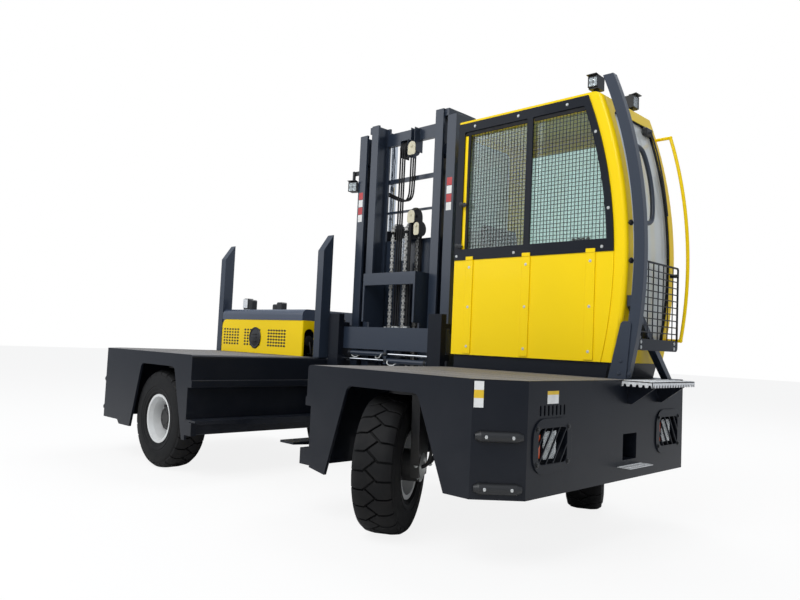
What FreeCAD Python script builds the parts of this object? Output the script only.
import FreeCAD, Part
import math
import os
import Sketcher
from FreeCAD import Placement, Rotation, Vector

# Four-way side-loading forklift.
#
# Two load platforms stand left and right of an open well.  A mast on a reach carriage
# travels in the well.  The cab stands on the right platform and the engine behind the
# left one.  Each platform runs on two wheels that steer about their own kingpins.
#
# Construction frame, in millimetres: X runs along the machine with the cab end at +X,
# and x = 0 is the middle of the well.  Y runs from the load side at y = 0 to the rear.
# Z is up from the ground.  Every sub-part is then moved by the same shift, so that the
# finished machine has its origin on the ground below the middle of its overall box.

doc = FreeCAD.newDocument("FourWayForklift")

# ---------------------------------------------------------------------------
# Driving dimensions
# ---------------------------------------------------------------------------

DIMENSIONS = [
    # chassis
    ("well_width", 1470, "clear width of the well between the platforms"),
    ("left_length", 1758, "left platform, well face to end face"),
    ("right_length", 1550, "right platform, well face to end face"),
    ("chassis_depth", 2110, "load side to rear side"),
    ("deck_height", 975, "top of the load decks"),
    ("left_deck_depth", 1262, "load side to the rear edge of the left load deck"),
    ("right_deck_depth", 1345, "load side to the rear edge of the right load deck"),
    ("deck_plate", 10, "thickness of the non-slip deck plates"),
    ("deck_rim", 14, "frame edge left standing around the deck plates"),
    ("deck_round", 25, "rounding of the well's upper edge"),
    ("frame_top", 15, "thickness of the top skin below the deck plates"),
    ("frame_wall", 20, "thickness of the frame side plates"),
    ("left_foot", 300, "ground to the left frame beside its arches"),
    ("left_bottom", 336, "ground to the left frame's lower edge at its end"),
    ("right_foot", 305, "ground to the right frame beside the well"),
    ("right_bottom", 365, "ground to the right frame's lower edge at its end"),
    ("corner_run", 198, "bevelled front corner, along the machine"),
    ("corner_depth", 210, "bevelled front corner, across the machine"),
    ("arch_top", 868, "ground to the top of the wheel arches"),
    ("arch_half_top", 290, "wheel arch, half width at the top"),
    ("arch_inner", 470, "wheel arch, half width at the foot towards the well"),
    ("left_arch_outer", 455, "left wheel arches, half width at the foot towards the end"),
    ("right_arch_outer", 528, "right wheel arches, half width at the foot towards the end"),
    ("arch_round", 50, "rounding of the arch's upper corners"),
    ("rail_low", 450, "ground to the roller channel's lower lip"),
    ("rail_high", 715, "ground to the roller channel's upper lip"),
    ("rail_depth", 45, "depth of the roller channel"),
    ("reach_room", 39, "gap between the reach carriage and the beam behind the well"),
    ("rail_nose", 12, "how far the channel's lips stand into the well"),
    ("rail_lip", 30, "thickness of the channel's lower lip"),
    ("rear_beam_depth", 150, "beam behind the well, front to back"),
    ("rear_beam_top", 900, "ground to the top of the beam behind the well"),
    # wheels and steering
    ("tyre_diameter", 826, "tyre, outside"),
    ("tyre_width", 266, "tyre, over the side walls"),
    ("rim_diameter", 410, "rim lip, outside"),
    ("rim_wall", 12, "rim, wall thickness"),
    ("hub_radius", 95, "drive motor, radius"),
    ("spindle_radius", 45, "wheel spindle, radius"),
    ("kingpin_inset", 283, "kingpin axis from the platform's long side"),
    ("kingpin_trail", 122, "kingpin axis to the middle plane of the wheel"),
    ("left_wheel_place", 585, "well face to the left kingpins"),
    ("right_wheel_place", 675, "well face to the right front kingpin"),
    ("right_rear_wheel_place", 831, "well face to the right rear kingpin"),
    ("turntable_radius", 150, "steering turntable, radius"),
    ("kingpin_radius", 70, "kingpin, radius"),
    ("running_gap", 0.3, "gap between faces that turn on each other"),
    # mast
    ("mast_front", 1531, "load side to the front of the mast uprights"),
    ("mast_width", 1180, "over the outer uprights"),
    ("upright_width", 95, "outer upright, width of its front face"),
    ("upright_depth", 180, "outer upright, front to back"),
    ("upright_web", 20, "upright, web thickness"),
    ("upright_flange", 22, "upright, flange thickness"),
    ("inner_gap", 55, "side gap between outer and inner uprights"),
    ("inner_width", 88, "inner upright, width of its flanges"),
    ("roller_gap", 0.3, "gap between a roller and the flange it runs on"),
    ("roller_width", 26, "mast roller, width"),
    ("mast_foot", 330, "ground to the foot of the mast"),
    ("outer_mast_top", 3069, "ground to the top of the outer uprights"),
    ("inner_mast_top", 3142, "ground to the top of the inner uprights"),
    ("inner_foot", 560, "ground to the foot of the inner uprights"),
    ("tie_height", 116, "height of the top tie of the inner uprights"),
    ("tie_depth", 22, "thickness of the mast's cross ties"),
    ("side_ram_radius", 48, "side lift ram, barrel radius"),
    ("side_rod_radius", 32, "side lift ram, rod radius"),
    ("middle_ram_radius", 52, "middle lift ram, barrel radius"),
    ("middle_rod_radius", 34, "middle lift ram, rod radius"),
    ("chain_spread", 82, "mast middle to each lift chain"),
    ("chain_sheave_radius", 72, "chain sheave, radius under the chain"),
    ("sheave_height", 2130, "ground to the chain sheaves' axle"),
    # fork carriage and forks
    ("fork_face", 1338, "load side to the front of the fork shanks"),
    ("fork_width", 140, "fork, width"),
    ("fork_thickness", 50, "fork, thickness of the blade"),
    ("fork_shank", 60, "fork, thickness of the shank"),
    ("fork_reach", 1390, "fork blade, shank face to tip"),
    ("fork_low", 425, "ground to the underside of the blades"),
    ("shank_top", 1385, "ground to the top of the shanks"),
    ("fork_outside", 1370, "over the outer edges of the forks"),
    ("carriage_low", 1075, "ground to the lower edge of the fork bar"),
    ("carriage_high", 1270, "ground to the upper edge of the fork bar"),
    ("carriage_bar", 40, "thickness of the fork bar and the upper bar"),
    ("upper_bar_low", 1640, "ground to the lower edge of the upper bar"),
    ("upper_bar_high", 1746, "ground to the upper edge of the upper bar"),
    ("carriage_half", 318, "half width of the carriage's roller frame"),
    ("carriage_plate", 20, "thickness of the carriage's side plates"),
    # load posts and hood
    ("post_front", 1275, "load side to the front of the load posts"),
    ("post_width", 86, "load post, width"),
    ("post_depth", 110, "load post, front to back"),
    ("post_low_top", 1968, "ground to the load post's front top edge"),
    ("post_high_top", 2125, "ground to the load post's rear top edge"),
    ("hood_left", 1661, "well face to the hood's far end"),
    ("hood_right", 259, "well face to the hood's near end"),
    ("hood_panel_top", 1314, "ground to the top of the hood's front panel"),
    ("hood_top", 1422, "ground to the top of the hood"),
    ("hood_round", 55, "radius of the hood's upper edges"),
    ("hood_skin", 6, "hood, sheet thickness"),
    # cab
    ("cab_left", 41, "well face to the cab's rear wall"),
    ("cab_front", 1483, "well face to the foremost point of the cab"),
    ("cab_near", 1365, "load side to the cab's near side"),
    ("cab_far", 2096, "load side to the cab's far side"),
    ("cab_low", 1076, "ground to the lower edge of the cab"),
    ("cab_high", 2905, "ground to the top of the cab"),
    ("cab_curve", 3150, "radius of the cab's curved front"),
    ("cab_curve_height", 1750, "ground to the centre of the cab's front curve"),
    ("cab_post", 90, "width of the cab's corner posts"),
    ("cab_skin", 40, "thickness of the cab's walls"),
    ("cab_round", 28, "rounding of the cab's upright front edges"),
    ("window_round", 55, "rounding of the windows' corners"),
    ("guard_round", 12, "rounding of the corners of the window guard's openings"),
    ("window_sill", 1804, "ground to the lower edge of the near window's guard"),
    ("glass", 6, "thickness of the glass"),
    ("roof_depth", 60, "thickness of the cab roof"),
    ("door_thickness", 34, "cab door, thickness"),
    ("door_gap", 6, "gap around the cab door"),
    # guards and steps
    ("guard_offset", 85, "guard post's middle line in front of the cab's curve"),
    ("guard_place", 1385, "load side to the guard post's middle"),
    ("guard_width", 50, "guard post, across"),
    ("guard_depth", 70, "guard post, front to back"),
    ("guard_top", 3000, "ground to the top of the guard post"),
    ("step_near", 1209, "load side to the near end of the boarding step"),
    ("step_length", 614, "boarding step, length"),
    ("step_reach", 198, "boarding step, reach beyond the end face"),
    ("step_edge", 35, "boarding step, height of its front edge"),
    ("buffer_radius", 30, "buffer bars, radius"),
    ("buffer_length", 250, "buffer bars, length"),
]

sheet = doc.addObject("Spreadsheet::Sheet", "Dims")
for row, (alias, value, note) in enumerate(DIMENSIONS, 1):
    sheet.set("A%d" % row, note)
    sheet.set("B%d" % row, str(value))
    sheet.setAlias("B%d" % row, alias)
doc.recompute()


class Size:
    """A length that knows its value and the spreadsheet formula that gives it."""

    def __init__(self, value, formula):
        self.value = float(value)
        self.formula = formula

    def _with(self, other, result, pattern):
        return Size(result(self.value, other.value), pattern % (self.formula, other.formula))

    def __add__(self, other):
        return self._with(size(other), lambda a, b: a + b, "(%s + %s)")

    def __sub__(self, other):
        return self._with(size(other), lambda a, b: a - b, "(%s - %s)")

    def __mul__(self, other):
        return self._with(size(other), lambda a, b: a * b, "(%s * %s)")

    def __truediv__(self, other):
        return self._with(size(other), lambda a, b: a / b, "(%s / %s)")

    def __radd__(self, other):
        return size(other) + self

    def __rsub__(self, other):
        return size(other) - self

    def __rmul__(self, other):
        return size(other) * self

    def __neg__(self):
        return Size(-self.value, "(0 - %s)" % self.formula)

    def root(self):
        return Size(math.sqrt(self.value), "sqrt(%s)" % self.formula)


def size(value):
    """A plain number or a Size, as a Size."""
    if isinstance(value, Size):
        return value
    return Size(value, repr(float(value)))


class Dimensions:
    """The spreadsheet's cells as Sizes: dims.deck_height and so on."""

    def __getattr__(self, alias):
        return Size(sheet.get(alias), "Dims." + alias)


dims = Dimensions()

# ---------------------------------------------------------------------------
# Modelling helpers: every size they take is bound to its formula
# ---------------------------------------------------------------------------

def bind(thing, path, value):
    thing.setExpression(path, size(value).formula)


def bind_place(thing, x, y, z):
    bind(thing, "Placement.Base.x", x)
    bind(thing, "Placement.Base.y", y)
    bind(thing, "Placement.Base.z", z)


def box(name, low, high):
    """A block between two opposite corners."""
    thing = doc.addObject("Part::Box", name)
    for path, start, end in zip(("Length", "Width", "Height"), low, high):
        bind(thing, path, end - start if isinstance(end, Size) else size(end) - start)
    bind_place(thing, *low)
    return thing


AXES = {"x": Rotation(Vector(0, 1, 0), 90), "y": Rotation(Vector(1, 0, 0), -90), "z": Rotation()}


def rod(name, start, axis, radius, length):
    """A round bar from a point along an axis."""
    thing = doc.addObject("Part::Cylinder", name)
    thing.Placement = Placement(Vector(), AXES[axis])
    bind(thing, "Radius", radius)
    bind(thing, "Height", length)
    bind_place(thing, *start)
    return thing


def combine(kind, name, parts):
    thing = doc.addObject(kind, name)
    thing.Shapes = parts
    return thing


def fuse(name, *parts):
    return combine("Part::MultiFuse", name, list(parts))


def cut(name, base, *tools):
    thing = doc.addObject("Part::Cut", name)
    thing.Base = base
    thing.Tool = tools[0] if len(tools) == 1 else fuse(name + "Tools", *tools)
    return thing


def together(name, *parts):
    """Separate solids that share one node."""
    thing = doc.addObject("Part::Compound", name)
    thing.Links = list(parts)
    return thing


PLANES = {"z": "XY_Plane", "y": "XZ_Plane", "x": "YZ_Plane"}


def origin_plane(body, role):
    for feature in body.Origin.OriginFeatures:
        if feature.Role == role:
            return feature
    raise ValueError(role)


def draw_outline(sketch, corners):
    """A closed outline of straight sides.

    A corner is (u, v), or (u, v, radius) where it is rounded.  Each corner is a
    construction point bound to its formulas, and the sides run through these points.
    """
    count = len(corners)
    points = [Vector(size(c[0]).value, size(c[1]).value, 0) for c in corners]
    radii = [size(c[2]).value if len(c) > 2 else 0.0 for c in corners]
    starts, ends, arcs = [], [], {}
    for i, here in enumerate(points):
        before = (points[i - 1] - here).normalize()
        after = (points[(i + 1) % count] - here).normalize()
        if radii[i] == 0:
            starts.append(here)
            ends.append(here)
            continue
        half = math.acos(max(-1.0, min(1.0, before.dot(after)))) / 2
        along = radii[i] / math.tan(half)
        centre = here + (before + after).normalize() * (radii[i] / math.sin(half))
        first, last = here + before * along, here + after * along
        ends.append(first)
        starts.append(last)
        middle = centre + (here - centre).normalize() * radii[i]
        leftward = (first - centre).cross(last - centre).z > 0
        arcs[i] = (Part.Arc(first, middle, last), (1, 2) if leftward else (2, 1))
    sketch.addGeometry([Part.Point(p) for p in points], True)
    lines = [Part.LineSegment(starts[i], ends[(i + 1) % count]) for i in range(count)]
    sketch.addGeometry(lines, False)
    arc_ids = {i: sketch.addGeometry(arc, False) for i, (arc, _) in arcs.items()}
    rules, formulas = [], []
    for i, corner in enumerate(corners):
        for kind, value in (("DistanceX", corner[0]), ("DistanceY", corner[1])):
            formulas.append((len(rules), size(value).formula))
            rules.append(Sketcher.Constraint(kind, -1, 1, i, 1, size(value).value))
        here, before = count + i, count + (i - 1) % count
        if i not in arc_ids:
            rules.append(Sketcher.Constraint("Coincident", here, 1, i, 1))
            rules.append(Sketcher.Constraint("Coincident", before, 2, i, 1))
            continue
        arc = arc_ids[i]
        first, last = arcs[i][1]
        rules.append(Sketcher.Constraint("PointOnObject", i, 1, here))
        rules.append(Sketcher.Constraint("PointOnObject", i, 1, before))
        rules.append(Sketcher.Constraint("Tangent", before, 2, arc, first))
        rules.append(Sketcher.Constraint("Tangent", arc, last, here, 1))
        formulas.append((len(rules), size(corner[2]).formula))
        rules.append(Sketcher.Constraint("Radius", arc, radii[i]))
    sketch.addConstraint(rules)
    for index, formula in formulas:
        sketch.setExpression("Constraints[%d]" % index, formula)


def sketch_at(body, name, axis, place, corners):
    """A sketch square to an axis, at a place along it."""
    sketch = body.newObject("Sketcher::SketchObject", name)
    sketch.AttachmentSupport = (origin_plane(body, PLANES[axis]), [""])
    sketch.MapMode = "FlatFace"
    bind(sketch, "AttachmentOffset.Base.z", -size(place) if axis == "y" else place)
    draw_outline(sketch, corners)
    return sketch


def prism(name, axis, start, end, corners):
    """An outline padded along an axis, as a body of its own.

    The outline is drawn in (x, y) for axis z, (x, z) for axis y and (y, z) for axis x.
    """
    body = doc.addObject("PartDesign::Body", name)
    base = end if axis == "y" else start
    pad = body.newObject("PartDesign::Pad", name + "Pad")
    pad.Profile = sketch_at(body, name + "Outline", axis, base, corners)
    bind(pad, "Length", size(end) - start)
    return body


def pocket(body, name, axis, start, end, corners):
    """An outline cut out of a body between two places along an axis."""
    hole = body.newObject("PartDesign::Pocket", name)
    base = start if axis == "y" else end
    hole.Profile = sketch_at(body, name + "Outline", axis, base, corners)
    bind(hole, "Length", size(end) - start)
    return hole


NODES = []


def node(label, thing):
    """Lists a finished sub-part under its name.

    A primitive keeps the Placement that puts it in the machine, so it is wrapped first.
    """
    if thing.TypeId in ("Part::Box", "Part::Cylinder"):
        thing = together(thing.Name + "Piece", thing)
    NODES.append((label, thing))
    thing.Label = label
    return thing


# ---------------------------------------------------------------------------
# Places worked out from the driving dimensions
# ---------------------------------------------------------------------------

well_half = dims.well_width / 2
left_kingpin = -well_half - dims.left_wheel_place
right_kingpin = well_half + dims.right_wheel_place
right_rear_kingpin = well_half + dims.right_rear_wheel_place
hood_far = -well_half - dims.hood_left
hood_near = -well_half - dims.hood_right
cab_left = well_half + dims.cab_left
cab_front = well_half + dims.cab_front
left_end = -well_half - dims.left_length
right_end = well_half + dims.right_length
frame_high = dims.deck_height - dims.deck_plate
skin_low = frame_high - dims.frame_top
tyre_radius = dims.tyre_diameter / 2
rear_kingpin = dims.chassis_depth - dims.kingpin_inset
beam_front = dims.chassis_depth - dims.rear_beam_depth
beam_low = dims.rail_low - 110
deck_start = dims.deck_round + 8
tyre_outer = dims.kingpin_trail + dims.tyre_width / 2
tyre_sweep = (tyre_radius * tyre_radius + tyre_outer * tyre_outer).root()

# Each wheel: its kingpin, the side it faces and how far it is steered at rest.
WHEELS = [
    ("front_left", left_kingpin, dims.kingpin_inset, -1, 0),
    ("front_right", right_kingpin, dims.kingpin_inset, -1, -62),
    ("rear_left", left_kingpin, rear_kingpin, 1, -62),
    ("rear_right", right_rear_kingpin, rear_kingpin, 1, -62),
]

# ---------------------------------------------------------------------------
# Platform frames
# ---------------------------------------------------------------------------

def arch_corners(middle, low, left_half, right_half):
    """The wheel arch: a trapezium with rounded upper corners, open below."""
    top = dims.arch_half_top
    return [
        (middle - left_half, low - 40),
        (middle + right_half, low - 40),
        (middle + right_half, low),
        (middle + top, dims.arch_top, dims.arch_round),
        (middle - top, dims.arch_top, dims.arch_round),
        (middle - left_half, low),
    ]


def rail_corners(side):
    """The well wall seen along the rails: a channel with two lips, in (x, z)."""
    face = side * well_half
    lip = side * (well_half - dims.rail_nose)
    back = side * (well_half + dims.rail_depth)
    skin = side * (well_half + dims.rail_depth + dims.frame_wall)
    nose = dims.rail_nose * 0.8
    return [
        (face, dims.deck_height, dims.deck_round),
        (skin, dims.deck_height),
        (skin, beam_low),
        (face, beam_low, nose),
        (face, dims.rail_low - dims.rail_lip),
        (lip, dims.rail_low - dims.rail_lip, nose),
        (lip, dims.rail_low, nose),
        (back, dims.rail_low),
        (back, dims.rail_high),
        (lip, dims.rail_high, nose),
        (lip, dims.rail_high + dims.rail_lip * 2, nose),
        (face, dims.rail_high + dims.rail_lip * 2),
    ]


def outline_inset(side, end, inner, gap, rear):
    """A platform's plan seen from above, set in by a gap; its front corner is bevelled."""
    slope = dims.corner_depth / dims.corner_run
    corner = gap * ((slope * slope + 1).root() - 1) / slope
    bevel = end - side * dims.corner_run
    return [(inner, gap), (bevel - side * corner, gap),
            (end - side * gap, dims.corner_depth + corner * slope), (end - side * gap, rear), (inner, rear)]


def platform_frame(name, side, end, low, arches):
    """One platform: folded side plates, top skin, arches and the well wall with its rail."""
    inner = side * (well_half + dims.rail_depth + dims.frame_wall / 2)
    wall = dims.frame_wall
    depth = dims.chassis_depth
    frame = prism(name + "Shell", "z", low, dims.deck_height, outline_inset(side, end, inner, size(0), depth))
    pocket(frame, name + "Hollow", "z", low - 10, skin_low,
           outline_inset(side, end, inner, wall, depth - wall))
    for place, arch in zip(("Front", "Rear"), arches):
        start = size(-10) if place == "Front" else depth - wall - 10
        pocket(frame, name + place + "Arch", "y", start, start + wall + 20, arch)
    rail = prism(name + "Rail", "y", 0, beam_front, rail_corners(side))
    skin = side * (well_half + dims.rail_depth + wall)
    low_x, high_x = (skin, -well_half) if side < 0 else (well_half, skin)
    closed_end = box(name + "RailEnd", (low_x, beam_front, beam_low), (high_x, depth, dims.deck_height))
    stop_x = side * (well_half - 43)
    low_x, high_x = (-well_half, stop_x) if side < 0 else (stop_x, well_half)
    stop = box(name + "RailStop", (low_x, 0, beam_low), (high_x, 50, dims.rail_low - 8))
    return frame, [rail, closed_end, stop]


def kingpin_housing(name):
    """The ring under the top skin that a steering turntable hangs from."""
    x, y = kingpins[name]
    plain = name.title().replace("_", "")
    ring = rod(plain + "Housing", (x, y, skin_low - 30), "z", dims.turntable_radius, 35)
    bore = rod(plain + "HousingBore", (x, y, skin_low - 40), "z", dims.kingpin_radius + dims.running_gap, 40)
    return cut(plain + "HousingRing", ring, bore)


def wheel_bay_wall(name, side, end, low):
    """The cross wall between the front and rear wheels of a platform."""
    middle = dims.chassis_depth / 2
    inner, outer = side * (well_half + dims.rail_depth), end - side * dims.frame_wall / 2
    low_x, high_x = (outer, inner) if side < 0 else (inner, outer)
    return box(name, (low_x, middle - 8, low + 60), (high_x, middle + 8, skin_low))


kingpins = {name: (x, y) for name, x, y, facing, steered in WHEELS}

# The engine stands in the left frame on two bearers, through a mouth in the deck.
engine_left = left_end + 113
engine_right = left_kingpin - tyre_sweep - 45
engine_front = dims.post_front + 125
engine_back = dims.chassis_depth - 150
engine_low = size(480)
engine_bulkhead = box("EngineBulkhead", (engine_right + 8, dims.frame_wall / 2, dims.left_bottom + 60),
                      (engine_right + 20, dims.chassis_depth - dims.frame_wall / 2, skin_low))
bearers = [box("EngineBearer%d" % n, (left_end + dims.frame_wall / 2, y - 30, engine_low - 50),
               (engine_right + 10, y + 30, engine_low))
           for n, y in enumerate((engine_front + 110, engine_back - 110))]
engine_mouth = box("EngineMouth", (engine_left - 15, engine_front - 15, skin_low - 20),
                   (engine_right + 8, engine_back + 15, dims.deck_height + 20))

left_arch = arch_corners(left_kingpin + 15, dims.left_foot, dims.left_arch_outer, dims.arch_inner)
left_shell, left_rail = platform_frame("Left", -1, left_end, dims.left_foot, (left_arch, left_arch))
pocket(left_shell, "LeftRaise", "y", -10, dims.chassis_depth + 10, [
    (left_end - 10, dims.left_foot - 10), (left_end + 535, dims.left_foot - 10),
    (left_end + 485, dims.left_bottom), (left_end - 10, dims.left_bottom)])
tank_left = hood_near + 12
tank = box("HydraulicTank", (tank_left, dims.post_front + 175, dims.deck_height),
           (-well_half - 20, dims.chassis_depth - 40, 1290))
filler = rod("TankFiller", (tank_left + 70, dims.post_front + 300, 1280), "z", 32, 45)
deck_recess = prism("LeftDeckRecess", "z", frame_high, dims.deck_height + 5, outline_inset(
    -1, left_end, -(well_half + deck_start), dims.deck_rim, dims.left_deck_depth))
node("left_frame", cut("LeftFrame", fuse(
    "LeftFrameParts", left_shell, engine_bulkhead, kingpin_housing("front_left"), kingpin_housing("rear_left"),
    wheel_bay_wall("LeftBayWall", -1, left_end, dims.left_foot), tank, filler, *left_rail, *bearers),
    engine_mouth, deck_recess))

front_arch, rear_arch = [arch_corners(kingpins[name][0], dims.right_foot, dims.arch_inner,
                                      dims.right_arch_outer) for name in ("front_right", "rear_right")]
right_shell, right_rail = platform_frame("Right", 1, right_end, dims.right_foot, (front_arch, rear_arch))
pocket(right_shell, "RightRaise", "y", -10, dims.chassis_depth + 10, [
    (right_kingpin + 30, dims.right_foot - 10), (right_end + 10, dims.right_foot - 10),
    (right_end + 10, dims.right_bottom), (right_kingpin + 30, dims.right_bottom)])
pocket(right_shell, "FootSlope", "y", -10, dims.chassis_depth + 10, [
    (well_half - 10, dims.right_foot - 10), (well_half + 205, dims.right_foot - 10),
    (well_half + 205, dims.right_foot), (well_half - 10, beam_low)])

# Openings in the end plate: two headlights, the louvres above one of them and a toe hole.
plate_start, plate_end = right_end - dims.frame_wall - 5, right_end + 5
lamp_middles = (size(445), size(1876))
lamp_height = size(632)


def lamp_outline(middle, half_width, half_height, radius):
    """A rounded rectangle, in (y, z), around the middle of a headlight."""
    left, right = middle - half_width, middle + half_width
    low, high = lamp_height - half_height, lamp_height + half_height
    return [(left, low, radius), (right, low, radius), (right, high, radius), (left, high, radius)]


for n, middle in enumerate(lamp_middles):
    pocket(right_shell, "LampHole%d" % n, "x", plate_start, plate_end, lamp_outline(middle, 150, 105, 50))
louvre = pocket(right_shell, "Louvre", "x", plate_start, plate_end, [
    (318, 792, 7), (334, 788, 7), (334, 845, 7), (318, 849, 7)])
louvres = right_shell.newObject("PartDesign::LinearPattern", "Louvres")
louvres.Originals = [louvre]
louvres.Direction = (origin_plane(right_shell, "Y_Axis"), [""])
bind(louvres, "Length", 232)
louvres.Occurrences = 7
right_shell.Tip = louvres
toe_near, toe_far, toe_low, toe_high = size(1242), size(1422), size(485), size(645)
pocket(right_shell, "ToeHole", "x", plate_start, plate_end, [
    (toe_near, toe_low, 6), (toe_far, toe_low, 6), (toe_far, toe_high, 6), (toe_near, toe_high, 6)])
toe_sheet = 5
toe_back = right_end - dims.frame_wall - 110
toe_box = cut("ToeBox", box("ToeBoxOuter", (toe_back, toe_near - toe_sheet, toe_low - toe_sheet),
                            (plate_start + 8, toe_far + toe_sheet, toe_high + toe_sheet)),
              box("ToeBoxInner", (toe_back + toe_sheet, toe_near, toe_low),
                  (plate_start + 10, toe_far, toe_high)))

step_top = dims.deck_height
step_sheet = 6
step_far = dims.step_near + dims.step_length


def step_gusset(name, y):
    """A triangular plate that carries the boarding step."""
    under = step_top - step_sheet
    return prism(name, "y", y, y + 10, [
        (right_end - 5, under - 140), (right_end + 30, under - 140),
        (right_end + dims.step_reach - 12, under - 25), (right_end + dims.step_reach - 12, under),
        (right_end - 5, under)])


deck_recess = prism("RightDeckRecess", "z", frame_high, dims.deck_height + 5, outline_inset(
    1, right_end, well_half + deck_start, dims.deck_rim, dims.right_deck_depth))
node("right_frame", cut("RightFrame", fuse(
    "RightFrameParts", right_shell, wheel_bay_wall("RightBayWall", 1, right_end, dims.right_foot),
    kingpin_housing("front_right"), kingpin_housing("rear_right"), toe_box,
    step_gusset("NearGusset", dims.step_near + 80), step_gusset("FarGusset", step_far - 120),
    *right_rail), deck_recess))

rear_beam = prism("RearBeam", "x", -well_half, well_half, [
    (beam_front, beam_low), (dims.chassis_depth, beam_low),
    (dims.chassis_depth, dims.rear_beam_top), (beam_front, dims.rear_beam_top)])
pocket(rear_beam, "BeamHollow", "x", -well_half - 5, well_half + 5, [
    (beam_front + 12, beam_low + 12), (dims.chassis_depth - 12, beam_low + 12),
    (dims.chassis_depth - 12, dims.rear_beam_top - 12), (beam_front + 12, dims.rear_beam_top - 12)])
node("rear_beam", rear_beam)

plate_gap = 1
node("load_decks", together(
    "LoadDecks",
    prism("LeftDeck", "z", frame_high, dims.deck_height, outline_inset(
        -1, left_end, -(well_half + deck_start + plate_gap), dims.deck_rim + plate_gap,
        dims.left_deck_depth - plate_gap)),
    prism("RightDeck", "z", frame_high, dims.deck_height, outline_inset(
        1, right_end, well_half + deck_start + plate_gap, dims.deck_rim + plate_gap,
        dims.right_deck_depth - plate_gap))))

# ---------------------------------------------------------------------------
# Trim on the chassis: buffers, load posts, steps, guard post
# ---------------------------------------------------------------------------

def buffer_bar(name, side, end, height):
    """A half-round rubbing bar with sloped ends, along the bevelled corner."""
    radius, half = dims.buffer_radius, dims.buffer_length / 2
    body = doc.addObject("PartDesign::Body", name)
    turn = body.newObject("PartDesign::Revolution", name + "Turn")
    turn.Profile = sketch_at(body, name + "Section", "y", 0, [
        (0, -half), (radius * 0.55, -half), (radius, -half + 28), (radius, half - 28),
        (radius * 0.55, half), (0, half)])
    turn.ReferenceAxis = (origin_plane(body, "Z_Axis"), [""])
    turn.Angle = 180
    run, depth = dims.corner_run.value, dims.corner_depth.value
    length = math.hypot(run, depth)
    along = Vector(side * run / length, depth / length, 0)
    out = Vector(side * depth / length, -run / length, 0)
    middle = Vector(end.value - side * run / 2, depth / 2, height) + out * dims.running_gap.value
    across = out.cross(along)
    body.Placement = Placement(middle, Rotation(-across if side > 0 else across, out, along, "ZYX"))
    return body


bars = []
for side, name, end in ((-1, "Left", left_end), (1, "Right", right_end)):
    for place, height in (("Low", 422), ("High", 684)):
        bars.append(buffer_bar(name + place + "Buffer", side, end, height))
node("buffer_bars", together("BufferBars", *bars))


def load_post(name, left):
    front, back = dims.post_front, dims.post_front + dims.post_depth
    return prism(name, "x", left, left + dims.post_width, [
        (front, dims.deck_height), (back, dims.deck_height),
        (back, dims.post_high_top), (front, dims.post_low_top)])


node("load_posts", together("LoadPosts", load_post("LeftPost", left_end),
                            load_post("RightPost", -well_half - dims.post_width)))

# Boarding steps: a folded tread on the gussets and a small one below the toe hole.
step_end = right_end + dims.step_reach
upper_step = prism("UpperStep", "y", dims.step_near, step_far, [
    (right_end, step_top - step_sheet), (right_end, step_top), (step_end, step_top),
    (step_end, step_top - dims.step_edge), (step_end - step_sheet, step_top - dims.step_edge),
    (step_end - step_sheet, step_top - step_sheet)])
lower_step = prism("LowerStep", "z", 440, 452, [
    (right_end, toe_near - 90), (right_end, toe_far + 90), (right_end + 85, toe_far + 30, 10),
    (right_end + 85, toe_near - 30, 10)])
node("boarding_steps", together("BoardingSteps", upper_step, lower_step))

# ---------------------------------------------------------------------------
# Cab
# ---------------------------------------------------------------------------

cab_centre = cab_front - dims.cab_curve


def front_curve(name, radius):
    """The solid whose surface is the cab's curved front, or a curve concentric with it."""
    return rod(name, (cab_centre, dims.cab_near - 200, dims.cab_curve_height), "y", radius,
               dims.cab_far - dims.cab_near + 400)


def behind_curve(name, low, high, radius):
    """A block whose +X side follows the cab's front curve."""
    return combine("Part::MultiCommon", name,
                   [box(name + "Block", low, high), front_curve(name + "Curve", radius)])


def rounded_block(name, low, high):
    """A block behind the cab's front, with its upright front edges and its brow rounded."""
    disc = doc.addObject("PartDesign::Body", name + "Disc")
    turn = disc.newObject("PartDesign::Revolution", name + "Turn")
    turn.Profile = sketch_at(disc, name + "Edge", "z", 0, [
        (0, dims.cab_near), (dims.cab_curve, dims.cab_near, dims.cab_round),
        (dims.cab_curve, dims.cab_far, dims.cab_round), (0, dims.cab_far)])
    turn.ReferenceAxis = (origin_plane(disc, "Y_Axis"), [""])
    turn.Angle = 360
    bind_place(disc, cab_centre, 0, dims.cab_curve_height)
    brow = prism(name + "Brow", "y", dims.cab_near - 5, dims.cab_far + 5, [
        (cab_left - 10, dims.cab_low - 10), (cab_edge + 60, dims.cab_low - 10),
        (cab_edge + 60, dims.cab_high - 560),
        (curve_x(dims.cab_high, dims.cab_curve) + 6, dims.cab_high, 120), (cab_left - 10, dims.cab_high)])
    return combine("Part::MultiCommon", name, [box(name + "Block", low, high), disc, brow])


def guard_opening(name, start, end, radius):
    """An opening of the window guard, ended by a curve concentric with the cab's front."""
    outline = prism(name + "Outline", "y", guard_start, guard_stop, [
        (x, z, dims.guard_round) for x, z in ((start, guard_pane_low), (end, guard_pane_low),
                                              (end, guard_pane_high), (start, guard_pane_high))])
    return combine("Part::MultiCommon", name, [outline, front_curve(name + "Curve", radius)])


def curve_x(height, radius):
    """Where a curve concentric with the cab's front stands at a height."""
    rise = size(height) - dims.cab_curve_height
    return cab_centre + (radius * radius - rise * rise).root()


roof_low = dims.cab_high - dims.roof_depth
cab_edge = cab_front + 10
skin = dims.cab_skin
post = dims.cab_post

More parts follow.
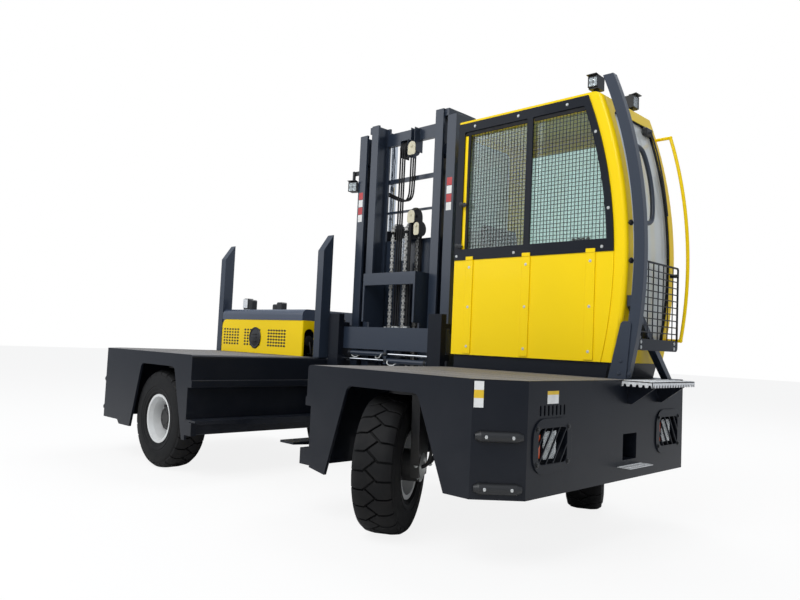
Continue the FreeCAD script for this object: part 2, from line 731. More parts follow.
cab_outer = rounded_block("CabOuter", (cab_left, dims.cab_near, dims.cab_low),
                          (cab_edge, dims.cab_far, roof_low))
cab_inner = behind_curve("CabInner", (cab_left + skin, dims.cab_near + skin, dims.cab_low - 5),
                         (cab_edge, dims.cab_far - skin, roof_low + 5), dims.cab_curve - skin)
near_window = behind_curve("NearWindow", (cab_left + post, dims.cab_near - 5, dims.window_sill + 80),
                           (cab_edge, dims.cab_near + skin + 5, roof_low - 60), dims.cab_curve - post - 30)
door_hole = behind_curve("DoorHole", (cab_left + post, dims.cab_far - skin - 5, dims.cab_low + 30),
                         (cab_edge, dims.cab_far + 5, roof_low - 30), dims.cab_curve - post)
def cab_width_outline(sill):
    """The outline, in (y, z), of a window as wide as the cab allows."""
    near, far, head = dims.cab_near + post, dims.cab_far - post, roof_low - 60
    return [(y, z, dims.window_round) for y, z in ((near, sill), (far, sill), (far, head), (near, head))]


screen_sill = dims.cab_low + 120
screen_hole = prism("ScreenHole", "x", cab_left + 600, cab_edge, cab_width_outline(screen_sill))
rear_window = prism("RearWindow", "x", cab_left - 5, cab_left + skin + 5,
                    cab_width_outline(dims.window_sill))

# The door hangs on two hinges: pins on the cab's rear corner post and eyes on the door.
door_gap = dims.door_gap
hinge_x = cab_left + post + door_gap / 2
hinge_y = dims.cab_far + 14
hinge_heights = (dims.cab_low + 230, roof_low - 230)
hinge_pin = 7
hinge_half = 42


def hinge_leaf(name, start, end, low, high):
    """A leaf that lies on the cab's or the door's outer face, with its round knuckle."""
    return [box(name + "Leaf", (start, dims.cab_far - 1, low), (end, dims.cab_far + 8, high)),
            rod(name + "Knuckle", (hinge_x, hinge_y, low), "z", hinge_pin + 6, high - low)]


cab_hinges, door_hinges, hinge_bores = [], [], []
for n, height in enumerate(hinge_heights):
    cab_hinges += hinge_leaf("CabHinge%d" % n, hinge_x - 60, hinge_x, height - hinge_half, height)
    cab_hinges.append(rod("HingePin%d" % n, (hinge_x, hinge_y, height - 1), "z", hinge_pin, hinge_half))
    door_hinges += hinge_leaf("DoorHinge%d" % n, hinge_x, hinge_x + 60,
                              height + dims.running_gap, height + hinge_half)
    hinge_bores.append(rod("HingeBore%d" % n, (hinge_x, hinge_y, height), "z", hinge_pin + 0.1,
                           hinge_half + 5))

cab_shell = cut("CabShell", cab_outer, cab_inner, near_window, door_hole, screen_hole, rear_window)
node("cab_frame", fuse("CabFrame", cab_shell, *cab_hinges))
node("cab_roof", rounded_block("CabRoof", (cab_left, dims.cab_near, roof_low),
                               (cab_edge, dims.cab_far, dims.cab_high)))
node("cab_floor", behind_curve("CabFloor", (cab_left + 15, dims.cab_near + 15, dims.deck_height),
                               (cab_edge, dims.cab_far - 15, dims.cab_low), dims.cab_curve - 40))

# Window guard on the near side: a flat frame with two openings.
guard_skin = 12
guard_outer = behind_curve("GuardOuter", (cab_left, dims.cab_near - guard_skin, dims.window_sill),
                           (cab_edge, dims.cab_near, roof_low + 40), dims.cab_curve - post)
guard_middle = (cab_left + cab_front) / 2
guard_pane_low, guard_pane_high = dims.window_sill + 85, roof_low - 30
guard_start, guard_stop = dims.cab_near - guard_skin - 5, dims.cab_near + 5
node("window_guard", cut(
    "WindowGuard", guard_outer,
    guard_opening("GuardRear", cab_left + 62, guard_middle - 72, dims.cab_curve),
    guard_opening("GuardFore", guard_middle - 26, cab_edge, dims.cab_curve - post - 50)))

side_panel = behind_curve("SidePanel", (cab_left, dims.cab_near - 6, dims.cab_low),
                          (cab_edge, dims.cab_near, dims.window_sill), dims.cab_curve - post)
straps = [box("Strap%d" % n, (cab_left + start, dims.cab_near - 14, dims.cab_low + 10),
              (cab_left + start + 70, dims.cab_near - 6, dims.window_sill))
          for n, start in enumerate((120, 639, 1153))]
node("cab_side_panel", fuse("CabSidePanel", side_panel, *straps))

# Fixed glass: each pane lies in the middle of its wall.
pane_near = dims.cab_near + skin / 2
near_pane = behind_curve("NearPane", (cab_left + post, pane_near, dims.window_sill + 80),
                         (cab_edge, pane_near + dims.glass, roof_low - 60),
                         dims.cab_curve - post - 30 - dims.running_gap)
screen_outer = combine("Part::MultiCommon", "ScreenOuter", [
    prism("ScreenOutline", "x", cab_left + 600, cab_edge, cab_width_outline(screen_sill)),
    front_curve("ScreenCurve", dims.cab_curve - skin / 2)])
screen_inner = front_curve("ScreenInner", dims.cab_curve - skin / 2 - dims.glass)
rear_pane = prism("RearPane", "x", cab_left + skin / 2, cab_left + skin / 2 + dims.glass,
                  cab_width_outline(dims.window_sill))
node("cab_glass", together("CabGlass", near_pane, cut("Windscreen", screen_outer, screen_inner), rear_pane))

# The door fills the far side's opening with a running gap, and its glass sits in the frame.
door_low = dims.cab_low + 30 + door_gap
door_high = roof_low - 30 - door_gap
door_left = cab_left + post + door_gap
door_outer = behind_curve("DoorOuter", (door_left, dims.cab_far - dims.door_thickness, door_low),
                          (cab_edge, dims.cab_far, door_high), dims.cab_curve - post - door_gap)
door_window = behind_curve("DoorWindow", (door_left + 60, dims.cab_far - 60, door_low + 420),
                           (cab_edge, dims.cab_far + 5, door_high - 60),
                           dims.cab_curve - post - door_gap - 60)
node("cab_door", cut("CabDoor", fuse("DoorParts", door_outer, *door_hinges), door_window, *hinge_bores))
node("door_glass", behind_curve("DoorGlass", (door_left + 60, dims.cab_far - 20, door_low + 420),
                                (cab_edge, dims.cab_far - 20 + dims.glass, door_high - 60),
                                dims.cab_curve - post - door_gap - 60 - dims.running_gap))

# Seat and controls.
cab_middle = (dims.cab_near + dims.cab_far) / 2
seat_left = cab_left + 160
seat_base = box("SeatBase", (seat_left, cab_middle - 220, dims.cab_low),
                (seat_left + 420, cab_middle + 220, dims.cab_low + 330))
seat_cushion = box("SeatCushion", (seat_left - 10, cab_middle - 240, dims.cab_low + 330),
                   (seat_left + 490, cab_middle + 240, dims.cab_low + 450))
seat_back = box("SeatBack", (seat_left - 60, cab_middle - 230, dims.cab_low + 450),
                (seat_left + 60, cab_middle + 230, dims.cab_low + 1050))
node("operator_seat", fuse("OperatorSeat", seat_base, seat_cushion, seat_back))
column = box("Column", (cab_front - 420, cab_middle - 90, dims.cab_low),
             (cab_front - 260, cab_middle + 90, dims.cab_low + 700))
wheel_x, wheel_z = cab_front - 340, dims.cab_low + 755
wheel_hub = rod("SteerHub", (wheel_x, cab_middle, dims.cab_low + 700), "z", 25, 60)
wheel_rim = cut("SteerRim", rod("SteerRimOuter", (wheel_x, cab_middle, wheel_z - 11), "z", 164, 22),
                rod("SteerRimInner", (wheel_x, cab_middle, wheel_z - 15), "z", 140, 30))
wheel_spoke = box("SteerSpoke", (wheel_x - 150, cab_middle - 12, wheel_z - 7),
                  (wheel_x + 150, cab_middle + 12, wheel_z + 5))
node("control_console", fuse("ControlConsole", column, wheel_hub, wheel_rim, wheel_spoke))

# Guard post: a tube that follows the cab's front curve from the deck to above the roof.
guard_low_curve = dims.cab_curve + dims.guard_offset - dims.guard_depth / 2
guard_near = dims.guard_place - dims.guard_width / 2
guard_far = dims.guard_place + dims.guard_width / 2
guard_bar = doc.addObject("Part::MultiCommon", "GuardBar")
guard_bar.Shapes = [
    box("GuardBlock", (cab_front - 400, guard_near, dims.deck_height),
        (cab_front + 200, guard_far, dims.guard_top)),
    rod("GuardCurve", (cab_centre, guard_near - 10, dims.cab_curve_height), "y",
        guard_low_curve + dims.guard_depth, dims.guard_width + 20)]
guard_back = rod("GuardBack", (cab_centre, guard_near - 10, dims.cab_curve_height), "y",
                 guard_low_curve, dims.guard_width + 20)
brace_x = curve_x(1100, guard_low_curve) + 8
brace = prism("GuardBrace", "x", brace_x, brace_x + 50, [
    (guard_far + 515, dims.deck_height), (guard_far + 575, dims.deck_height),
    (guard_far - 10, dims.deck_height + 540), (guard_far - 10, dims.deck_height + 470)])
gusset_x = curve_x(975, guard_low_curve) + dims.guard_depth / 2
gusset_top = dims.deck_height + 370
gusset = prism("GuardGusset", "y", guard_near - 8, guard_near + 6, [
    (gusset_x - 95, dims.deck_height), (gusset_x + 30, dims.deck_height),
    (gusset_x + 58, gusset_top, 25), (gusset_x - 12, gusset_top, 30)])
node("guard_post", fuse("GuardPost", cut("GuardTube", guard_bar, guard_back), brace, gusset))

# Mesh guard before the lower windscreen: a flat frame from the guard post to two cab arms.
mesh_low, mesh_high = size(1240), size(1755)
mesh_far = dims.cab_far - 58
mesh_x = curve_x(1240, guard_low_curve) + 35
mesh_frame = prism("MeshFrame", "x", mesh_x, mesh_x + 10, [
    (guard_far, mesh_low - 75), (mesh_far, mesh_low - 75, 30), (mesh_far, mesh_high, 20),
    (guard_far, mesh_high)])
pocket(mesh_frame, "MeshOpening", "x", mesh_x - 5, mesh_x + 15, [
    (guard_far + 12, mesh_low, 8), (mesh_far - 12, mesh_low, 8),
    (mesh_far - 12, mesh_high - 12, 8), (guard_far + 12, mesh_high - 12, 8)])
mesh_arms = [box("MeshArm%d" % n, (cab_front - 120, mesh_far - 28, z),
                 (mesh_x + 2, mesh_far - 4, z + 24))
             for n, z in enumerate((mesh_low - 60, mesh_high - 70))]
node("mesh_guard", cut("MeshGuard", fuse("MeshGuardParts", mesh_frame, *mesh_arms),
                       front_curve("MeshGuardSeat", dims.cab_curve)))

# Grab rail at the far front corner: a bent tube that keeps to the front's curve.
rail_y = dims.cab_far - 34
rail_tube = 12
rail_curve = dims.cab_curve + 104
rail_z_low, rail_z_high = size(1240), dims.cab_high - 190
rail_ring = doc.addObject("Part::Torus", "RailRing")
rail_ring.Placement = Placement(Vector(), AXES["y"])
bind(rail_ring, "Radius1", rail_curve)
bind(rail_ring, "Radius2", rail_tube)
bind_place(rail_ring, cab_centre, rail_y, dims.cab_curve_height)
rail_arc = combine("Part::MultiCommon", "RailArc", [
    rail_ring, box("RailSpan", (cab_front - 400, rail_y - 30, rail_z_low),
                   (cab_front + 200, rail_y + 30, rail_z_high))])
rail_parts = [rail_arc]
for n, z in enumerate((rail_z_low + 4, rail_z_high - 4)):
    knee = doc.addObject("Part::Sphere", "RailKnee%d" % n)
    bind(knee, "Radius", rail_tube * 1.15)
    bind_place(knee, curve_x(z, rail_curve), rail_y, z)
    leg_start = cab_front - 300
    rail_parts += [knee, rod("RailLeg%d" % n, (leg_start, rail_y, z), "x", rail_tube,
                             curve_x(z, rail_curve) - leg_start)]
node("grab_rail", cut("GrabRail", fuse("GrabRailParts", *rail_parts),
                      front_curve("GrabRailSeat", dims.cab_curve)))

# ---------------------------------------------------------------------------
# Engine and hood
# ---------------------------------------------------------------------------

hood_back = dims.chassis_depth - 30
hood_front = dims.post_front
hood_low = dims.deck_height + dims.running_gap
hood_sheet = dims.hood_skin
panel_back = hood_front + hood_sheet
panel_return = 235
hood_inside = panel_back + dims.running_gap
brow_low = dims.hood_panel_top + dims.running_gap
hood_right = hood_near - hood_sheet - dims.running_gap
mouth_low, mouth_high = dims.deck_height - 5, dims.deck_height + 260
hood_mouth = [(hood_front + 24, mouth_low), (hood_front + 142, mouth_low),
              (hood_front + 142, mouth_high, 55), (hood_front + 24, mouth_high, 55)]

hood_shell = prism("HoodShell", "x", hood_far, hood_right, [
    (hood_inside, hood_low), (hood_back, hood_low), (hood_back, dims.hood_top, dims.hood_round),
    (hood_front - 4, dims.hood_top, dims.hood_round), (hood_front - 4, brow_low), (hood_inside, brow_low)])
pocket(hood_shell, "HoodHollow", "x", hood_far + hood_sheet, hood_right - hood_sheet, [
    (hood_inside + hood_sheet, hood_low - 10), (hood_back - hood_sheet, hood_low - 10),
    (hood_back - hood_sheet, dims.hood_top - hood_sheet, dims.hood_round - hood_sheet),
    (hood_inside + hood_sheet, dims.hood_top - hood_sheet, dims.hood_round - hood_sheet)])
pocket(hood_shell, "HoodMouth", "x", hood_right - 10, hood_right + 5, hood_mouth)
node("engine_hood", hood_shell)

panel_plan = prism("PanelPlan", "z", hood_low, dims.hood_panel_top, [
    (hood_far, hood_front), (hood_near, hood_front, 10),
    (hood_near, hood_front + panel_return), (hood_near - hood_sheet, hood_front + panel_return),
    (hood_near - hood_sheet, panel_back), (hood_far, panel_back)])
pocket(panel_plan, "PanelMouth", "x", hood_near - 20, hood_near + 5, hood_mouth)
panel_face = prism("PanelFace", "y", hood_front - 5, hood_front + panel_return + 5, [
    (hood_far, hood_low), (hood_near, hood_low), (hood_near, dims.hood_panel_top),
    (hood_far, dims.hood_panel_top, 75)])
node("hood_panel", combine("Part::MultiCommon", "HoodPanel", [panel_plan, panel_face]))

node("engine_block", box("EngineBlock", (engine_left, engine_front, engine_low),
                         (engine_right, engine_back, dims.hood_top - 90)))

# ---------------------------------------------------------------------------
# Mast
# ---------------------------------------------------------------------------

mast_half = dims.mast_width / 2
mast_front = dims.mast_front
mast_back = mast_front + dims.upright_depth
web = dims.upright_web
flange = dims.upright_flange


def channel(name, side, outside, width, front, back, low, high):
    """An upright: a channel section with its open side towards the mast's middle."""
    outer, inner = side * outside, side * (outside - width)
    inner_web = side * (outside - web)
    return prism(name, "z", low, high, [
        (outer, front), (inner, front), (inner, front + flange), (inner_web, front + flange),
        (inner_web, back - flange), (inner, back - flange), (inner, back), (outer, back)])


def beam_upright(name, side, outside, width, front, back, low, high):
    """An upright with an I section, open on both sides of its web."""
    outer, inner = side * outside, side * (outside - width)
    web_outer = side * (outside - width / 2 + web / 2)
    web_inner = side * (outside - width / 2 - web / 2)
    return prism(name, "z", low, high, [
        (outer, front), (inner, front), (inner, front + flange), (web_inner, front + flange),
        (web_inner, back - flange), (inner, back - flange), (inner, back), (outer, back),
        (outer, back - flange), (web_outer, back - flange), (web_outer, front + flange),
        (outer, front + flange)])


def crossbar(name, half, front, back, low, high):
    return box(name, (-half, front, low), (half, back, high))


def along_x(side, near, far):
    """A stretch along X on one side of the middle, as (start, end) from low to high."""
    return (near, far) if side > 0 else (-size(far), -size(near))


def side_rod(name, side, near, far, y, z, radius):
    start, end = along_x(side, near, far)
    return rod(name, (start, y, z), "x", radius, size(end) - start)


def side_box(name, side, near, far, front, back, low, high):
    start, end = along_x(side, near, far)
    return box(name, (start, front, low), (end, back, high))


SIDES = ((-1, "Left"), (1, "Right"))
mast_middle = (mast_front + mast_back) / 2
pivot_height = dims.mast_foot + 70
pivot_radius = 30
pivot_clearance = 0.1
boss_reach = 55
tie_back = mast_back + dims.tie_depth
ram_place = mast_half - 130
ram_middle = mast_back + 150
ram_radius = dims.side_ram_radius
rod_radius = dims.side_rod_radius
ram_low = dims.mast_foot + 150
ram_high = ram_low + 1720
inner_half = mast_half - dims.upright_width - dims.inner_gap
inner_front = mast_front + 5
inner_back = mast_back - 5
roller_width = dims.roller_width

outer_parts = []
for side, name in SIDES:
    outer_parts += [
        channel("Outer" + name, side, mast_half, dims.upright_width, mast_front, mast_back,
                dims.mast_foot, dims.outer_mast_top),
        side_rod("Outer" + name + "Roller", side, inner_half - 30, inner_half - 30 + roller_width,
                 mast_middle, dims.outer_mast_top - 270,
                 (inner_back - inner_front) / 2 - flange - dims.roller_gap),
        side_rod("Outer" + name + "Axle", side, inner_half - 10, mast_half - 10, mast_middle,
                 dims.outer_mast_top - 270, 22),
        side_rod(name + "PivotBoss", side, mast_half - 2, mast_half + boss_reach, mast_middle,
                 pivot_height, pivot_radius + 28),
        side_box(name + "RamShelf", side, ram_place - 60, ram_place + 60, mast_back, ram_middle + 55,
                 ram_low - 20, ram_low),
        side_box(name + "RamClamp", side, ram_place - 70, ram_place + 70, mast_back, ram_middle,
                 1880, 1960)]
for name, low, high in (("FootTie", 420, 620), ("BackPlate", 940, 2080), ("ThinTie", 2335, 2355),
                        ("TopTie", 2619, 2659)):
    outer_parts.append(crossbar("Outer" + name, mast_half, mast_back, tie_back, size(low), size(high)))
outer_holes = []
for side, name in SIDES:
    outer_holes += [
        side_rod(name + "PivotBore", side, mast_half + 2, mast_half + boss_reach + 5, mast_middle,
                 pivot_height, pivot_radius + pivot_clearance),
        rod(name + "RamSeat", (side * ram_place, ram_middle, ram_low), "z",
            ram_radius + dims.running_gap, ram_high - ram_low)]
node("outer_mast", cut("OuterMast", fuse("OuterMastParts", *outer_parts), *outer_holes))


def ram_barrel(name, x):
    barrel = rod(name + "Body", (x, ram_middle, ram_low), "z", ram_radius, ram_high - ram_low)
    bore = rod(name + "Bore", (x, ram_middle, ram_low + 25), "z", rod_radius + dims.running_gap,
               ram_high - ram_low)
    return cut(name, barrel, bore)


node("lift_rams", together("LiftRams", ram_barrel("LeftBarrel", -ram_place),
                           ram_barrel("RightBarrel", ram_place)))

# The inner mast also carries the middle lift ram, which raises the chain head.
middle_x = size(-30)
middle_radius = dims.middle_ram_radius
foot_high = dims.inner_foot + 60
barrel_high = dims.inner_foot + 1310
stroke_down = 180
arm_low = dims.outer_mast_top + 12
arm_back = ram_middle + 78
tie_high = dims.inner_mast_top - 64
tie_half = inner_half - dims.inner_width + 1
hose_sheave_high = dims.inner_mast_top - 266
inner_parts = [
    crossbar("InnerTopTie", tie_half, inner_back - 42, inner_back, tie_high - dims.tie_height, tie_high),
    crossbar("InnerFootTie", tie_half, mast_middle - 40, inner_back, dims.inner_foot, foot_high),
    rod("MiddleBarrel", (middle_x, mast_middle, foot_high - 5), "z", middle_radius,
        barrel_high - foot_high + 5),
    side_rod("TopHoseSheave", 1, 14, 44, mast_middle, hose_sheave_high, 67),
    side_rod("TopHoseAxle", 1, 4, 54, mast_middle, hose_sheave_high, 12),
    side_box("TopSheaveNear", 1, 4, 9, mast_middle - 24, inner_back, hose_sheave_high - 24,
             tie_high - 10),
    side_box("TopSheaveFar", 1, 49, 54, mast_middle - 24, inner_back, hose_sheave_high - 24,
             tie_high - 10)]
for side, name in SIDES:
    place = side * ram_place
    inner_parts += [
        beam_upright("Inner" + name, side, inner_half, dims.inner_width, inner_front, inner_back,
                     dims.inner_foot, dims.inner_mast_top),
        side_rod("Inner" + name + "Roller", side, mast_half - 60, mast_half - 60 + roller_width,
                 mast_middle, dims.inner_foot + 100,
                 dims.upright_depth / 2 - flange - dims.roller_gap),
        side_rod("Inner" + name + "Axle", side, inner_half - 50, mast_half - 50, mast_middle,
                 dims.inner_foot + 100, 22),
        prism(name + "RamArm", "x", place - 25, place + 25, [
            (inner_front + 20, arm_low), (arm_back - 20, arm_low), (arm_back, arm_low + 18),
            (arm_back, dims.inner_mast_top - 22), (arm_back - 30, dims.inner_mast_top - 2),
            (inner_back + 60, dims.inner_mast_top), (inner_front + 20, dims.inner_mast_top)]),
        side_box(name + "ArmFoot", side, inner_half - 40, ram_place, inner_front + 20, inner_back - 20,
                 arm_low, dims.inner_mast_top - 20),
        rod(name + "RamRod", (place, ram_middle, ram_low + 55), "z", rod_radius, arm_low - ram_low - 50)]
node("inner_mast", cut("InnerMast", fuse("InnerMastParts", *inner_parts),
                       rod("MiddleBore", (middle_x, mast_middle, foot_high + 5), "z",
                           dims.middle_rod_radius + dims.running_gap, barrel_high)))

# Chain head: the middle ram's rod with two chain sheaves and a sheave for the hoses.
spread = dims.chain_spread
head_radius = dims.chain_sheave_radius
sheave_z = dims.sheave_height
head_parts = [
    rod("MiddleRod", (middle_x, mast_middle, foot_high + 15 + stroke_down), "z", dims.middle_rod_radius,
        sheave_z - foot_high - 40 - stroke_down),
    box("HeadBlock", (middle_x - spread + 22, mast_middle - 32, sheave_z - 60),
        (middle_x + spread - 22, mast_middle + 32, sheave_z + 24)),
    rod("HeadAxle", (middle_x - spread - 24, mast_middle, sheave_z), "x", 14, spread * 2 + 48),
    box("HosePlateNear", (middle_x + spread + 17, mast_middle - 26, sheave_z - 30),
        (middle_x + spread + 22, mast_middle + 26, sheave_z + 155)),
    rod("HoseSheave", (middle_x + spread + 27, mast_middle, sheave_z + 131), "x", head_radius - 5, 28),
    rod("HoseAxle", (middle_x + spread + 18, mast_middle, sheave_z + 131), "x", 11, 48)]
for n, offset in enumerate((-spread, spread)):
    head_parts += [rod("ChainSheave%d" % n, (middle_x + offset - 13, mast_middle, sheave_z), "x",
                       head_radius - 14, 26),
                   rod("SheaveFlangeNear%d" % n, (middle_x + offset - 17, mast_middle, sheave_z), "x",
                       head_radius, 4),
                   rod("SheaveFlangeFar%d" % n, (middle_x + offset + 13, mast_middle, sheave_z), "x",
                       head_radius, 4)]
node("chain_head", fuse("ChainHead", *head_parts))

# Reach carriage: side plates with rollers in the well's channels, tied behind the mast.
rail_roller = (dims.rail_high - dims.rail_low) / 2 - 2.5
rail_roller_height = dims.rail_low + rail_roller + dims.roller_gap
side_outer = well_half - 22
side_inner = side_outer - 20
plate_front = mast_front - 110
plate_top = dims.rail_high + 45
plate_back = beam_front - dims.reach_room
reach_parts = [crossbar("ReachBeam", side_outer, plate_back - 100, plate_back, dims.mast_foot,
                        dims.mast_foot + 80)]
for side, name in SIDES:
    start, end = along_x(side, side_inner, side_outer)
    reach_parts += [
        prism(name + "ReachSide", "x", start, end, [
            (plate_front + 60, dims.mast_foot), (plate_back, dims.mast_foot), (plate_back, plate_top),
            (plate_front, plate_top, 60), (plate_front, dims.mast_foot + 60)]),
        side_rod(name + "Pivot", side, mast_half + 4, side_inner + 5, mast_middle, pivot_height,
                 pivot_radius),
        side_rod(name + "PivotCollar", side, mast_half + boss_reach + 6, side_inner + 5, mast_middle,
                 pivot_height, pivot_radius + 20)]
    for place, y in (("Front", plate_front - 6 + rail_roller), ("Rear", plate_back + 9 - rail_roller)):
        reach_parts.append(side_rod(name + place + "Roller", side, side_inner,
                                    well_half + dims.rail_depth - 4, y, rail_roller_height, rail_roller))
node("reach_carriage", fuse("ReachCarriage", *reach_parts))

# ---------------------------------------------------------------------------
# Fork carriage and forks
# ---------------------------------------------------------------------------

bar_front = dims.fork_face + dims.fork_shank + 5
bar_back = bar_front + dims.carriage_bar
frame_half = dims.carriage_half
fork_half = dims.fork_outside / 2
hook_back = bar_back + 25
positioner_y = bar_front + dims.carriage_bar / 2
rod_heights = {"Left": dims.carriage_low - 90, "Right": dims.carriage_low - 35}
barrel_length = 480
carriage_parts = [
    box("ForkBar", (-fork_half, bar_front, dims.carriage_low), (fork_half, bar_back, dims.carriage_high)),
    box("UpperBar", (-frame_half, bar_front, dims.upper_bar_low),
        (frame_half, bar_back, dims.upper_bar_high)),
    box("PositionerPlate", (-15, bar_front, dims.carriage_low - 120), (15, bar_back, dims.carriage_low))]
for side, name in SIDES:
    start, end = along_x(side, frame_half - dims.carriage_plate, frame_half)
    notch_low, notch_high = dims.carriage_high - 48, dims.carriage_high + 48
    carriage_parts.append(prism(name + "CarriageSide", "x", start, end, [
        (bar_back - 1, dims.carriage_low), (inner_back - 56, dims.carriage_low, 40),
        (inner_back - 56, dims.upper_bar_high, 40), (bar_front, dims.upper_bar_high),
        (bar_front, notch_high), (hook_back + 8, notch_high), (hook_back + 8, notch_low),
        (bar_back - 1, notch_low)]))
    for place, z in (("Low", dims.carriage_low + 62), ("High", dims.upper_bar_high - 62)):
        carriage_parts += [
            side_rod(name + place + "CarriageRoller", side, frame_half + 38,
                     frame_half + 38 + roller_width, mast_middle, z,
                     (inner_back - inner_front) / 2 - flange - dims.roller_gap),
            side_rod(name + place + "CarriageAxle", side, frame_half - 5, frame_half + 45, mast_middle, z,
                     22)]
    barrel_start = 0 if name == "Left" else -barrel_length
    carriage_parts.append(rod(name + "Positioner", (barrel_start, positioner_y, rod_heights[name]), "x",
                              22, barrel_length))
for n, offset in enumerate((-spread, spread)):
    anchor_x = middle_x + offset
    carriage_parts.append(box("ChainAnchor%d" % n, (anchor_x - 22, bar_back - 1, dims.carriage_high - 45),
                              (anchor_x + 22, mast_middle - head_radius + 22, dims.carriage_high - 5)))
carriage_bores = []
for side, name in SIDES:
    bore_start = -20 if name == "Left" else -barrel_length + 15
    carriage_bores.append(rod(name + "PositionerBore", (bore_start, positioner_y, rod_heights[name]), "x",
                              12 + dims.running_gap, barrel_length + 5))
node("fork_carriage", cut("ForkCarriage", fuse("ForkCarriageParts", *carriage_parts), *carriage_bores))


def fork(name, side, rod_height):
    """An L-shaped fork with a tapered blade, a hook over the bar and its positioner rod."""
    inner, outer = fork_half - dims.fork_width, fork_half
    start, end = along_x(side, inner, outer)
    heel = dims.fork_face + dims.fork_shank
    tip = dims.fork_face - dims.fork_reach
    top = dims.fork_low + dims.fork_thickness
    blade = prism(name + "Blade", "x", start, end, [
        (heel, dims.fork_low, 50), (heel, dims.shank_top), (dims.fork_face, dims.shank_top),
        (dims.fork_face, top, 30), (tip, top), (tip, top - 15), (tip + 650, dims.fork_low)])
    hook = side_box(name + "Hook", side, inner, outer, heel - 2, hook_back, dims.carriage_high + 5,
                    dims.carriage_high + 40)
    latch = side_box(name + "Latch", side, inner, outer, bar_back + 5, hook_back,
                     dims.carriage_high - 40, dims.carriage_high + 10)
    lug = side_box(name + "Lug", side, inner, outer, heel - 2, positioner_y + 25, rod_height - 25,
                   rod_height + 25)
    shaft = side_rod(name + "Rod", side, -20, inner + 20, positioner_y, rod_height, 12)
    return fuse(name, blade, hook, latch, lug, shaft)


node("left_fork", fork("LeftFork", -1, rod_heights["Left"]))
node("right_fork", fork("RightFork", 1, rod_heights["Right"]))

# ---------------------------------------------------------------------------
# Wheels and knuckles, built about the kingpin at axle height and facing +Y
# ---------------------------------------------------------------------------

lip_radius = dims.rim_diameter / 2
seat_radius = lip_radius - 15
bead = 25
fit = dims.running_gap
trail = dims.kingpin_trail
disc_start = trail - 40
spindle = dims.spindle_radius
motor_start = 60


def tyre(name):
    body = doc.addObject("PartDesign::Body", name)
    turn = body.newObject("PartDesign::Revolution", name + "Turn")
    half = dims.tyre_width / 2
    turn.Profile = sketch_at(body, name + "Section", "z", 0, [
        (seat_radius + fit, trail - half + bead), (lip_radius + fit, trail - half + bead),
        (tyre_radius - 110, trail - half), (tyre_radius - 38, trail - half + 8),
        (tyre_radius - 10, trail - half + 30), (tyre_radius, trail - half + 80),
        (tyre_radius, trail + half - 80), (tyre_radius - 10, trail + half - 30),
        (tyre_radius - 38, trail + half - 8), (tyre_radius - 110, trail + half),
        (lip_radius + fit, trail + half - bead), (seat_radius + fit, trail + half - bead)])
    turn.ReferenceAxis = (origin_plane(body, "Y_Axis"), [""])
    turn.Angle = 360
    return body


def rim(name):
    """A deep-dished rim: barrel, two lips and a disc set in towards the kingpin."""
    body = doc.addObject("PartDesign::Body", name)
    turn = body.newObject("PartDesign::Revolution", name + "Turn")
    half = dims.tyre_width / 2 - bead + 6
    inside = seat_radius - dims.rim_wall
    start, stop, lip = trail - half, trail + half, 6 - fit
    turn.Profile = sketch_at(body, name + "Section", "z", 0, [
        (lip_radius, start), (lip_radius, start + lip), (seat_radius, start + lip),
        (seat_radius, stop - lip), (lip_radius, stop - lip), (lip_radius, stop), (inside + 6, stop),
        (inside - 6, stop - 40), (inside - 12, disc_start + 14), (spindle, disc_start + 14),
        (spindle, disc_start), (inside - 12, disc_start), (inside, start)])
    turn.ReferenceAxis = (origin_plane(body, "Y_Axis"), [""])
    turn.Angle = 360
    return body


def knuckle(name):
    plate_high = skin_low - 30 - dims.running_gap - tyre_radius
    plate_low = tyre_radius + 14
    plate = rod(name + "Turntable", (0, 0, plate_low), "z", dims.turntable_radius, plate_high - plate_low)
    stub = rod(name + "Kingpin", (0, 0, plate_high - 5), "z", dims.kingpin_radius, 30)
    arm = prism(name + "Arm", "y", -75, -25, [(-95, -60), (95, -60), (130, plate_high - 20),
                                              (-130, plate_high - 20)])
    motor = rod(name + "Motor", (0, -motor_start, 0), "y", dims.hub_radius, disc_start - fit + motor_start)
    axle = rod(name + "Spindle", (0, 0, 0), "y", spindle - fit, disc_start + 60)
    return fuse(name, plate, stub, arm, motor, axle)


placed = {}
for name, x, y, facing, steered in WHEELS:
    plain = name.title().replace("_", "")
    turn = steered + (180 if facing < 0 else 0)
    for label, maker in (("tyre", tyre), ("rim", rim), ("knuckle", knuckle)):
        thing = node(name + "_" + label, maker(plain + label.title()))
        placed[thing.Name] = (x, y, tyre_radius, turn)

# ---------------------------------------------------------------------------
# Lamps
# ---------------------------------------------------------------------------

def lamp_body(name, x, y, z, foot):
    """A square work lamp on a stalk, with its face towards +X."""
    half = 45
    return fuse(name, box(name + "Foot", (x - 15, y - 15, z), (x + 15, y + 15, z + foot)),
                box(name + "Body", (x - 35, y - half, z + foot - 3), (x + 35, y + half, z + foot + 90)))


roof_x = curve_x(dims.cab_high, dims.cab_curve) - 75
node("work_lamps", together(
    "WorkLamps", lamp_body("NearRoofLamp", roof_x, dims.cab_near + 75, dims.cab_high, 35),
    lamp_body("FarRoofLamp", roof_x, dims.cab_far - 160, dims.cab_high, 35)))


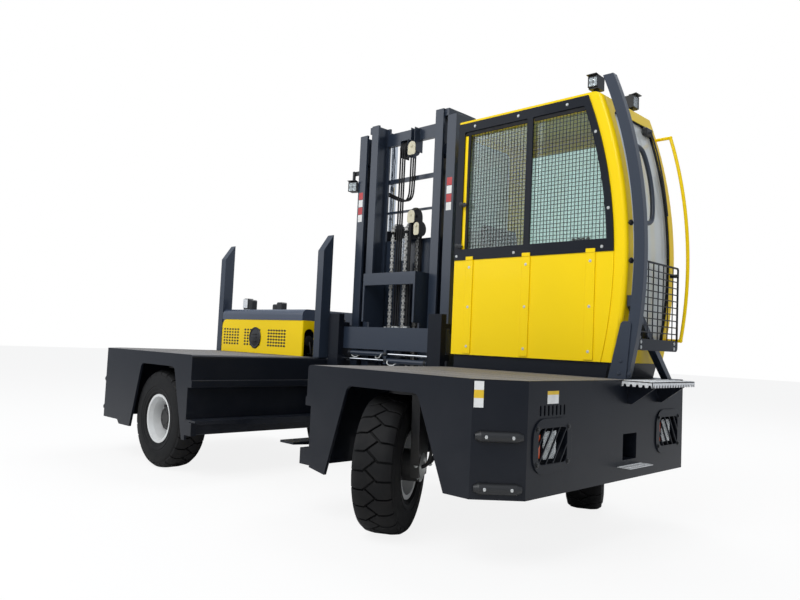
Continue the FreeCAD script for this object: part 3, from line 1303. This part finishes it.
def headlight(name, middle, lean):
    """A guard plate with slanting bars bolted over the hole, and a square lamp on a bracket behind."""
    plate_in, plate_out = right_end, right_end + 8
    plate = prism(name + "Plate", "x", plate_in, plate_out, lamp_outline(middle, 188, 145, 100))
    opening = prism(name + "Opening", "x", plate_in - 5, plate_out + 5, lamp_outline(middle, 140, 95, 40))
    bars, bar_pitch, bar_half, rise, run = [], 70, 4, 110, 77 * lean
    for n in range(5):
        foot, head = middle + (bar_pitch * (n - 2) - run), middle + (bar_pitch * (n - 2) + run)
        bars.append(prism("%sBar%d" % (name, n), "x", plate_in - 10, plate_out + 10, [
            (foot - bar_half, lamp_height - rise), (foot + bar_half, lamp_height - rise),
            (head + bar_half, lamp_height + rise), (head - bar_half, lamp_height + rise)]))
    guard = cut(name + "Guard", plate, cut(name + "Slots", opening, *bars))
    lens = plate_out - 30
    back = lens - 62
    lamp = prism(name + "Lamp", "x", back, lens, lamp_outline(middle, 63, 75, 14))
    bracket = prism(name + "Bracket", "z", lamp_height - 60, lamp_height + 60, [
        (plate_in + 2, middle - 147), (plate_in + 2, middle - 141), (back + 8, middle - 141),
        (back + 8, middle + 141), (plate_in + 2, middle + 141), (plate_in + 2, middle + 147),
        (back + 2, middle + 147), (back + 2, middle - 147)])
    return fuse(name, guard, lamp, bracket)


node("headlights", together("Headlights", headlight("NearHeadlight", lamp_middles[0], 1),
                            headlight("FarHeadlight", lamp_middles[1], -1)))

# ---------------------------------------------------------------------------
# Finish: shift everything, check it and write the files
# ---------------------------------------------------------------------------

shift_x = -(left_end + right_end + dims.step_reach) / 2
shift_y = -dims.chassis_depth / 2

for label, thing in NODES:
    x, y, z, turn = placed.get(thing.Name, (size(0), size(0), size(0), 0))
    thing.Placement = Placement(Vector(), Rotation(Vector(0, 0, 1), turn))
    bind_place(thing, x + shift_x, y + shift_y, z)

doc.recompute()

for thing in doc.Objects:
    if "Invalid" in thing.State or "Error" in thing.State:
        raise RuntimeError("%s did not build: %s" % (thing.Name, thing.State))

os.makedirs("parts", exist_ok=True)
for label, thing in NODES:
    shape = thing.Shape
    if shape.isNull() or not shape.isValid() or not shape.Solids:
        raise RuntimeError("%s has no valid solid" % label)
    shape.exportStep("parts/%s.step" % label)
    print("%-22s %3d solids %10.4f m3" % (label, len(shape.Solids), shape.Volume / 1e9))
print("shift", shift_x.value, shift_y.value)
